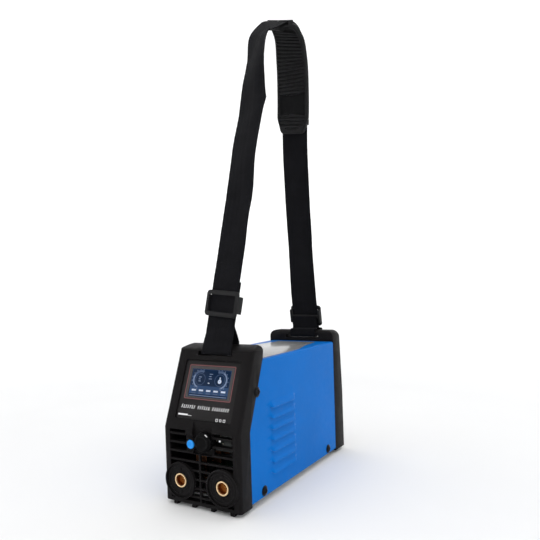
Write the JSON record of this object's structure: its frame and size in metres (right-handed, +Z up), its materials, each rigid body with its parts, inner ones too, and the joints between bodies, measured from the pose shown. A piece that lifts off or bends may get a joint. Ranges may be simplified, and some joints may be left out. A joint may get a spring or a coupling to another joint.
{
  "type": "stick welding inverter",
  "caption": "Portable stick welding inverter in a folded steel case with black end bezels, panel display, knob, two cable sockets, rear fan and a padded shoulder strap.",
  "frame": {"origin": "on the ground under the middle of the overall box", "axes": "+X to the operator's right, +Y from the control panel to the rear panel, +Z up"},
  "size_m": [0.1066, 0.273, 0.5594],
  "materials": {
    "moulded_black": "fine-grained moulded nylon, satin",
    "knob_black": "smooth moulded, half gloss",
    "cover_blue": "powder coat, semi gloss",
    "zinc_plate": "zinc plated",
    "black_steel": "black oxide, satin",
    "socket_brass": "turned, lightly tarnished",
    "busbar_copper": "bare copper, satin",
    "circuit_board": "solder mask over glass fibre board",
    "heatsink_aluminium": "extruded, bare",
    "silver_label": "silver film label, glossy",
    "panel_label": "black printed film, half gloss",
    "screen": "clear window over a dark blue display",
    "component_black": "moulded epoxy and nylon",
    "capacitor_sleeve": "shrink sleeve",
    "ferrite": "sintered, matt",
    "enamelled_wire": "enamelled copper wire",
    "button_blue": "smooth moulded",
    "rocker_red": "smooth moulded",
    "fan_plastic": "moulded",
    "lamp_lens": "milky lens",
    "wire_sheath": "vinyl",
    "ribbon": "vinyl flat cable",
    "webbing": "woven polypropylene webbing",
    "slider_black": "moulded acetal, satin",
    "pad_rubber": "moulded, matt"
  },
  "bodies": {
    "chassis": {"front_bezel": "moulded_black", "rear_bezel": "moulded_black", "socket_body_negative": "moulded_black", "socket_body_positive": "moulded_black", "cable_gland": "moulded_black", "gland_nut": "moulded_black", "cover": "cover_blue", "base_tray": "zinc_plate", "encoder_body": "zinc_plate", "fan_guard": "black_steel", "fan_screw_1": "black_steel", "fan_screw_2": "black_steel", "fan_screw_3": "black_steel", "fan_screw_4": "black_steel", "cover_screw_left_1": "black_steel", "cover_screw_left_2": "black_steel", "cover_screw_left_3": "black_steel", "cover_screw_right_1": "black_steel", "cover_screw_right_2": "black_steel", "cover_screw_right_3": "black_steel", "socket_contact_negative": "socket_brass", "socket_contact_positive": "socket_brass", "earth_screw": "socket_brass", "busbar_negative": "busbar_copper", "busbar_positive": "busbar_copper", "display_board": "circuit_board", "key_board": "circuit_board", "main_board": "circuit_board", "control_board": "circuit_board", "heatsink_left": "heatsink_aluminium", "heatsink_right": "heatsink_aluminium", "top_label": "silver_label", "control_label": "panel_label", "lcd_window": "screen", "lcd_module": "component_black", "button_switch": "component_black", "igbt_transistors": "component_black", "output_diodes": "component_black", "bridge_rectifier": "component_black", "board_frame": "component_black", "power_switch_housing": "component_black", "bulk_capacitor_1": "capacitor_sleeve", "bulk_capacitor_2": "capacitor_sleeve", "transformer_core": "ferrite", "choke_core": "ferrite", "transformer_winding": "enamelled_wire", "choke_winding": "enamelled_wire", "fan_frame": "fan_plastic", "status_led": "lamp_lens", "mains_wires": "wire_sheath", "ribbon_cable": "ribbon", "strap_webbing": "webbing", "shoulder_pad": "pad_rubber"},
    "knob": {"control_knob": "knob_black", "encoder_shaft": "zinc_plate"},
    "button": {"select_button": "button_blue"},
    "rocker": {"power_switch_rocker": "rocker_red"},
    "fan": {"fan_rotor": "fan_plastic"},
    "front_slider": {"strap_slider_front": "slider_black"},
    "rear_slider": {"strap_slider_rear": "slider_black"}
  },
  "joints": [
    {"name": "knob_turn", "type": "hinge", "parent": "chassis", "child": "knob", "pos_m": [0.005, -0.1365, 0.072], "axis": [0, -1, 0], "continuous": true},
    {"name": "button_press", "type": "slide", "parent": "chassis", "child": "button", "axis": [0, 1, 0], "range_m": [0, 0.0015], "stiffness_N_per_m": 400, "springref_m": -0.0005},
    {"name": "rocker_toggle", "type": "hinge", "parent": "chassis", "child": "rocker", "pos_m": [-0.022, 0.118, 0.128], "axis": [1, 0, 0], "range_deg": [-16, 0]},
    {"name": "fan_spin", "type": "hinge", "parent": "chassis", "child": "fan", "pos_m": [0, 0.108, 0.058], "axis": [0, 1, 0], "continuous": true},
    {"name": "front_slider_slide", "type": "slide", "parent": "chassis", "child": "front_slider", "axis": [0.1052, 0.1578, 0.9819], "range_m": [-0.006, 0.008]},
    {"name": "rear_slider_slide", "type": "slide", "parent": "chassis", "child": "rear_slider", "axis": [0.0225, -0.2026, 0.979], "range_m": [0, 0.01]}
  ]
}
